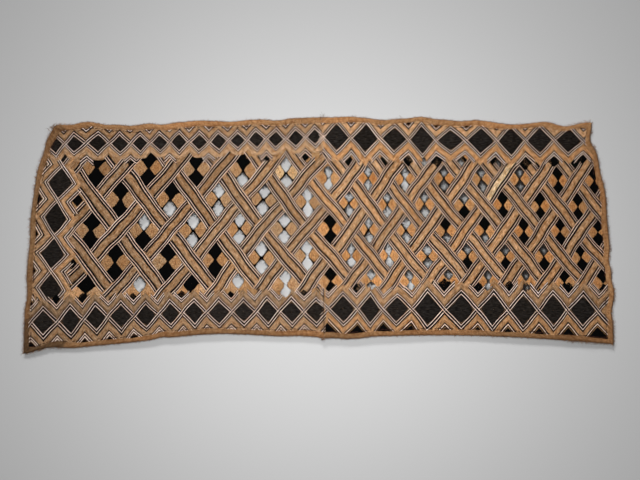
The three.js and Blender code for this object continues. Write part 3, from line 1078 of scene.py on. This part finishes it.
# %% [markdown]
# The hem is the ground's own edge, rolled over twice and sewn down. It is the thickest part of
# the cloth, a soft band with a round section whose width and colour wander with the hand.

# %% Hems
# section of the roll: inset from the edge as a share of its width, height in millimetres
SECTION = [
    (0.02, 0.35), (0.0, 1.2), (0.05, 2.3), (0.18, 3.1), (0.42, 3.4), (0.68, 3.15), (0.88, 2.5),
    (1.0, 1.7), (1.02, 0.8), (0.9, 0.1), (0.5, 0.0), (0.12, 0.0),
]
# painted shade of each line of the section, lightest on top of the roll and darkest down its inner side,
# where the fold's shadow falls, and its place across the thread in millimetres
SECTION_PAINTED_SHADE = np.array([0.8, 0.8, 0.9, 1, 1.04, 1, 0.85, 0.6, 0.45, 0.6, 0.8, 0.8])
SECTION_RUN = np.array([0, 1.2, 2.6, 4.5, 7.5, 11, 14, 15.5, 17, 19, 24, 29, 33])
# length and size of each wave of the fold's edge, in millimetres
FRAY_WAVES = ((17, 0.55), (9.1, 0.4), (29, 0.5), (6.3, 0.3))


def fray(place):
    """How far the fold's edge strays outwards along its length, in millimetres."""
    out = 0
    for k, (length, size) in enumerate(FRAY_WAVES):
        out = out + size * np.sin(2 * math.pi * place / length + 1.7 * k)
    return out * 1.6


def hem(panel):
    layer = Layer()
    lines = [panel_line(panel, HEM_WIDTH * share, 3.0) for share, _ in SECTION]
    n = len(lines[0])
    place = run_along(lines[0])
    wide = 1 + 0.09 * np.sin(place / 47 + 1) + 0.07 * np.sin(place / 19) + rng.normal(0, 0.02, n)
    tall = 1 + 0.06 * np.sin(place / 31) + rng.normal(0, 0.025, n)
    shade = 1 + 0.1 * np.sin(place / 83 + 2) + 0.07 * np.sin(place / 29) + rng.normal(0, 0.05, n)
    warm = 0.08 * np.sin(place / 61 + 1) + rng.normal(0, 0.02, n)
    outer = lines[1] + fray(place)[:, None] * (lines[1] - lines[4]) / HEM_WIDTH
    rolled = []
    for (share, _), line in zip(SECTION, lines):
        stretch = wide[:, None] if share > 0.3 else 1
        rolled.append(outer + (line - outer) * stretch)
    xy = np.stack(rolled, 1)
    z = np.array([h for _, h in SECTION])[None] * tall[:, None]
    # The hem is browner and darker at the left end, and carries painted shade along the lower edge, where the
    # fold curls down.
    on_left = outer[:, 0] < -590
    shade *= 1.12 - 0.36 * (outer[:, 1] < -200) - 0.38 * on_left
    warm = warm - 0.1 * on_left
    tint = HEM_GOLD[None] * shade[:, None] * np.stack([np.ones(n), 1 - warm * 0.5, 1 - warm], 1)
    # painted shade across the roll's section
    tint = tint[:, None] * SECTION_PAINTED_SHADE[None, :, None]
    xy, z, tint = (np.concatenate([a, a[:, :1]], 1) for a in (xy, z, tint))
    uv = np.stack(np.broadcast_arrays(place[:, None], SECTION_RUN[None]), -1)
    layer.grid(xy, z, tint, None, uv)
    verts, quads, tints, uvs = layer.arrays()
    obj = mesh_object(f"{panel}_hem", verts, quads, tints, uvs, [WEAVE], upward=False)
    return obj


hems = {panel: hem(panel) for panel in SIDES}

# %% [markdown]
# The worked layers become meshes here, all under one root.

# %% Meshes of the worked layers
worked = [
    layer_object("left_gold_pile", pile["left"], PILE),
    layer_object("right_gold_pile", pile["right"], PILE),
    layer_object("field_black_pile", field_black, BLACK_PILE),
    layer_object("border_black_pile", border_black, BORDER_PILE),
    layer_object("cream_lines", cream, THREAD),
]

# %% [markdown]
# Cut pile is a brush of short fibre ends. A bump can't catch light as they do at a low angle, so
# small three-sided tufts are scattered over the pile shapes, each with its own shade and lean.

# %% Tufts of the cut pile
def tufts(name, layer, count, tall, wide, material, spread=0.22):
    verts, quads, tints, uvs = layer.arrays()
    a, b, c, d = (verts[quads[:, i]] for i in range(4))
    area = np.abs((c - a)[:, 0] * (d - b)[:, 1] - (c - a)[:, 1] * (d - b)[:, 0]) / 2
    pick = rng.choice(len(quads), count, p=area / area.sum())
    u, v = rng.uniform(0, 1, (2, count, 1))
    foot = (a[pick] * (1 - u) + b[pick] * u) * (1 - v) + (d[pick] * (1 - u) + c[pick] * u) * v
    turn = rng.uniform(0, 2 * math.pi, count)[:, None] + np.arange(3) * 2 * math.pi / 3
    radius = wide * rng.uniform(0.7, 1.3, (count, 1))
    rim = np.stack([radius * np.cos(turn), radius * np.sin(turn), np.full((count, 3), -0.25)], -1)
    height = tall * rng.uniform(0.55, 1.25, count)
    tip = np.stack([rng.normal(0, 0.4 * tall, count), rng.normal(0, 0.4 * tall, count), height], -1)
    corners = np.concatenate([foot[:, None] + rim, (foot + tip)[:, None]], 1).reshape(-1, 3)
    start = 4 * np.arange(count)[:, None, None]
    faces = (start + np.array([(0, 1, 3), (1, 2, 3), (2, 0, 3)])).reshape(-1, 3)
    shade = np.clip(rng.normal(1.0, spread, (count, 1)), 0.4, 1.8)
    warm = rng.normal(0, 0.07, (count, 1))
    tint = tints[quads[pick, 0]] * shade * np.concatenate([np.ones_like(warm), 1 + 0.4 * warm, 1 + warm], 1)
    tint = np.repeat(tint, 4, 0)
    tint[0::4] *= 0.75
    ua, ub, uc, ud = (uvs[quads[pick, i]] for i in range(4))
    thread = np.repeat((ua * (1 - u) + ub * u) * (1 - v) + (ud * (1 - u) + uc * u) * v, 4, 0)
    obj = mesh_object(name, corners, faces, tint, thread, [material], upward=False)
    return obj


worked += [
    tufts("left_gold_tufts", pile["left"], 60000, 1.3, 0.55, PILE, 0.3),
    tufts("right_gold_tufts", pile["right"], 60000, 1.3, 0.55, PILE, 0.3),
    tufts("field_black_tufts", field_black, 18000, 1.2, 0.55, BLACK_PILE, 0.4),
    tufts("border_black_tufts", border_black, 30000, 0.8, 0.5, BORDER_PILE, 0.3),
]

# %% [markdown]
# Worn fibre ends stick out of the folded hem, most of all along the two short sides. Each is a
# thin tapered blade with one bend, and the seam's ends and two corners have longer loose threads.

# %% Loose fibres along the hem
# corners of a blade's faces: three at its root, three at its bend and one at its tip
BLADE_FACES = [
    (0, 1, 4), (0, 4, 3), (1, 2, 5), (1, 5, 4), (2, 0, 3), (2, 3, 5), (3, 4, 6), (4, 5, 6), (5, 3, 6),
]
HEM_FIBRES = 2400


def fibres(name, roots, aims, lengths, wide, tint):
    """Thin bent blades from their roots outwards. Roots and aims are in millimetres, z included."""
    n = len(roots)
    side = np.stack([-aims[:, 1], aims[:, 0], np.zeros(n)], -1)
    side /= np.linalg.norm(side, axis=1)[:, None]
    bend = rng.normal(0, 0.35, (n, 1)) * side + np.array([0, 0, 1]) * rng.uniform(-0.25, 0.12, (n, 1))
    long = lengths[:, None]
    middle = roots + aims * long * 0.5
    end = roots + (aims + bend) * long
    half = side * wide / 2
    shade_thickening = np.array([0, 0, wide * 0.7])
    ring = [
        roots - half, roots + half, roots + shade_thickening,
        middle - half * 0.8, middle + half * 0.8, middle + shade_thickening * 0.8, end,
    ]
    verts = np.stack(ring, 1).reshape(-1, 3)
    verts[:, 2] = np.clip(verts[:, 2], 0.1, None)
    faces = (7 * np.arange(n)[:, None, None] + np.array(BLADE_FACES)).reshape(-1, 3)
    shade = np.clip(rng.normal(1, 0.25, (n, 1)), 0.45, 1.6)
    tints = np.repeat(np.asarray(tint) * shade, 7, 0)
    obj = mesh_object(name, verts, faces, tints, verts[:, :2], [WEAVE], upward=False)
    return obj


def point_and_way(line, run, place, ahead):
    """The point at a place along a line, and the direction of the line there."""
    x, y = np.interp(place, run, line[:, 0]), np.interp(place, run, line[:, 1])
    dx = np.interp(place + ahead, run, line[:, 0]) - x
    dy = np.interp(place + ahead, run, line[:, 1]) - y
    size = np.hypot(dx, dy) + 1e-6
    return x, y, dx / size, dy / size


def hem_fibres(panel):
    line = panel_line(panel, 0.4, 3.0)
    run = run_along(line)
    count = HEM_FIBRES
    x, y, dx, dy = point_and_way(line, run, rng.uniform(0, run[-1], count), 3)
    short_side = np.abs(x) > 570
    long = rng.gamma(2.2, 1.0, count) * np.where(short_side, 1.5, 0.75) + 0.8
    lean = rng.normal(0, 0.6, count)
    aims = np.stack([-dy - lean * dx, dx - lean * dy, rng.normal(-0.05, 0.2, count)], 1)
    roots = np.stack([x, y, rng.uniform(0.8, 2.9, count)], 1)
    tint = HEM_GOLD * 1.05
    return fibres(f"{panel}_fringe", roots, aims, np.clip(long, 0.8, 8.5), 0.5, tint)


worked += [hem_fibres(panel) for panel in SIDES]

# %% [markdown]
# Where a lozenge was cut through, the dyed ground frays, and short dark ends reach into the gap. They also
# stand in for painted shade in the gaps: there are more and longer ones along each gap's upper rim, and they
# are thickest in the second panel, where some gaps are half closed by them.

# %% Frayed ends in the gaps
FRAY_PER_MM = {"left": 0.8, "right": 1.3}
FRAY_LONG = {"left": 3.0, "right": 4.2}
FRAY_AND_SHADE_TINT = lin(46, 38, 34)


def gap_fibres(panel):
    roots, aims, lengths = [], [], []
    for gap in gap_outlines(panel):
        around = np.concatenate([gap, gap[:1]])
        run = run_along(around)
        across = gap[:, 0].mean()
        # painted shade: the ends thicken towards the right, where the gaps are darker
        shade_thickening = 1.0 + 1.1 * np.clip((across - 230) / 60, 0, 1) + 2.2 * np.clip((across - 400) / 60, 0, 1)
        count = round(run[-1] * FRAY_PER_MM[panel] * shade_thickening * 2)
        place = rng.uniform(0, run[-1], count)
        middle = gap.mean(0)
        # painted shade: more and longer ends along a gap's upper rim, where the cloth's shadow falls
        upper = np.interp(place, run, around[:, 1] - middle[1]) / np.ptp(gap[:, 1]) * 2
        chosen = rng.uniform(0, 1, count) < 0.4 + 0.6 * np.clip(upper * 1.5 - 0.3, 0, 1)
        place, upper = place[chosen], np.clip(upper[chosen], 0, 1)
        count = len(place)
        x, y = np.interp(place, run, around[:, 0]), np.interp(place, run, around[:, 1])
        turn = np.arctan2(middle[1] - y, middle[0] - x) + rng.normal(0, 0.5, count)
        roots.append(np.stack([x, y, rng.uniform(0.5, 1.5, count)], 1))
        aims.append(np.stack([np.cos(turn), np.sin(turn), rng.normal(-0.16, 0.06, count)], 1))
        lengths.append(np.clip(rng.gamma(2.0, 0.5, count), 0.3, 2.4) * FRAY_LONG[panel] * (1 + 0.6 * upper))
    roots, aims, lengths = (np.concatenate(part) for part in (roots, aims, lengths))
    return fibres(f"{panel}_gap_ends_and_shade", roots, aims, lengths, 0.7, FRAY_AND_SHADE_TINT)


worked += [gap_fibres(panel) for panel in SIDES]

# %% [markdown]
# The fold is held down by a line of small dark stitches along its inner edge. They are short
# cords laid end to end, a little off line, as a running stitch is.

# %% Stitches that hold the hem
hem_stitches = Layer()
# longest stitch, and how often one is still there
STITCH_LONG, STITCH_SHARE = 8.0, 0.8
for panel in SIDES:
    line = panel_line(panel, HEM_WIDTH * 1.13, 3.0)
    run = run_along(line)
    place = 4.0
    while place < run[-1] - 12:
        long = rng.uniform(4.5, STITCH_LONG)
        if rng.uniform() < STITCH_SHARE:
            aside_by = rng.normal(0, 0.5)

            def point(along, aside, line=line, run=run, aside_by=aside_by):
                x, y, dx, dy = point_and_way(line, run, along, 2)
                off = aside + aside_by
                return np.stack([x - dy * off, y + dx * off], -1)

            tint = vary(STITCH_BROWN, 0.1, 0.2)
            steps = np.linspace(place, place + long, 4)
            strip(hem_stitches, point, steps, -1.0, 1.0, 2.3, 1.0, tint, None, CORD, 0.8)
        place += long + rng.uniform(0.8, 2.0)
worked.append(layer_object("hem_stitches", hem_stitches, THREAD))

# %% [markdown]
# The two hemmed panels are joined by whip stitches of the same raffia, and the sewer left a knot
# with loose ends where the seam starts and stops.

# %% Seam stitches and loose threads
stitches = Layer()
# distance of the stitches along the seam, in millimetres
WHIP_STEP = 7.5
for y in np.arange(-232, 262, WHIP_STEP):
    here = np.array([[seam_at(y), y]])
    if in_gaps(here, 1.25)[0]:
        continue
    lean = rng.normal(3, 0.8)
    reach = rng.uniform(3.0, 4.4)

    def point(along, aside, y=y, lean=lean, reach=reach):
        return np.stack([seam_at(y) + along * reach + aside * 0, y + along * lean + aside], -1)

    tint = vary(HEM_GOLD * (0.85 if y > -120 else 0.5), 0.05, 0.12)
    strip(stitches, point, np.linspace(-1, 1, 5), -0.6, 0.6, 2.5, 1.0, tint, None, CORD, 0.8)


def seam_point(along, aside):
    return np.stack([seam_at(along) + aside, along], -1)


strip(dark, seam_point, np.linspace(-232, -128, 20), -0.9, 0.9, 2.7, 0.5, DARK, None, CORD)
worked.append(layer_object("dark_lines", dark, THREAD))
worked.append(layer_object("seam_stitches", stitches, THREAD))
# place, direction outwards in degrees, threads, longest in millimetres
LOOSE = [
    ((8, 262), 110, 16, 15), ((13, -236), -100, 16, 15), ((190, 262), 95, 5, 9), ((-612, 244), 120, 10, 12),
]
roots, aims, lengths = [], [], []
for (x, y), heading, count, longest in LOOSE:
    for _ in range(count):
        turn = math.radians(heading + rng.normal(0, 42))
        roots.append((x + rng.normal(0, 4), y + rng.normal(0, 3), rng.uniform(2.2, 3.6)))
        aims.append((math.cos(turn), math.sin(turn), rng.normal(0, 0.12)))
        lengths.append(rng.uniform(0.35, 1) * longest)
roots, aims, lengths = np.array(roots), np.array(aims), np.array(lengths)
worked.append(fibres("loose_threads", roots, aims, lengths, 0.9, HEM_GOLD * 0.8))

# %% [markdown]
# The model's own panels are hidden, and each one's flat size is worked out.

for panel, (sheet, area) in grounds.items():
    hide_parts(f"{panel}_panel")
    line = panel_line(panel)
    size = (line.max(0) - line.min(0)) / 1000

# %% [markdown]
# The photograph looks straight down on the cloth from far off. The light is a large soft source
# towards the cloth's upper edge and a rounder one above that leaves a pool on a pale floor.

# %% Floor, lights and camera
# one pixel of the photograph in millimetres, its width in pixels, and the camera's distance
PIXEL, PHOTO_WIDTH = 2.3, 640
PHOTO_CENTRE = ((319.5 - 318) * PIXEL, (234 - 240.5) * PIXEL)
CAMERA_HEIGHT, SENSOR = 3.0, 36
aim = ((PHOTO_CENTRE[0] - CENTRE[0]) / 1000, (PHOTO_CENTRE[1] - CENTRE[1]) / 1000)

bpy.ops.mesh.primitive_plane_add(size=8, location=(0, 0, -0.0003))
floor = bpy.context.object
floor.name = "floor"
floor.data.materials.append(plain("pale_paper", (0.62, 0.62, 0.62), 0.95, 0.1))


def add_light(name, kind, power, towards):
    data = bpy.data.lights.new(name, kind)
    data.energy = power
    light = placed(name, data)
    light.rotation_euler = Vector(towards).to_track_quat("-Z", "Y").to_euler()
    return light


pool = add_light("pool", "AREA", 8.3, (0, 0.04, -0.97))
pool.location = (0.0, -0.04, 0.97)
pool.data.shape = "DISK"
pool.data.size = 0.4
window = add_light("window", "SUN", 2.3, (0.3, -1.0, -0.47))
window.data.angle = math.radians(9)
world = bpy.context.scene.world or bpy.data.worlds.new("world")
bpy.context.scene.world = world
world.use_nodes = True
set_inputs(world.node_tree.nodes["Background"], {"Color": (1, 1, 1, 1), "Strength": 0.07})
bpy.context.scene.view_settings.view_transform = "Standard"

camera_data = bpy.data.cameras.new("camera")
camera_data.sensor_width = SENSOR
camera_data.lens = SENSOR * CAMERA_HEIGHT / (PHOTO_WIDTH * PIXEL / 1000)
camera = placed("camera", camera_data)
camera.location = (aim[0], aim[1], CAMERA_HEIGHT)
bpy.context.scene.camera = camera
print("camera over", aim)
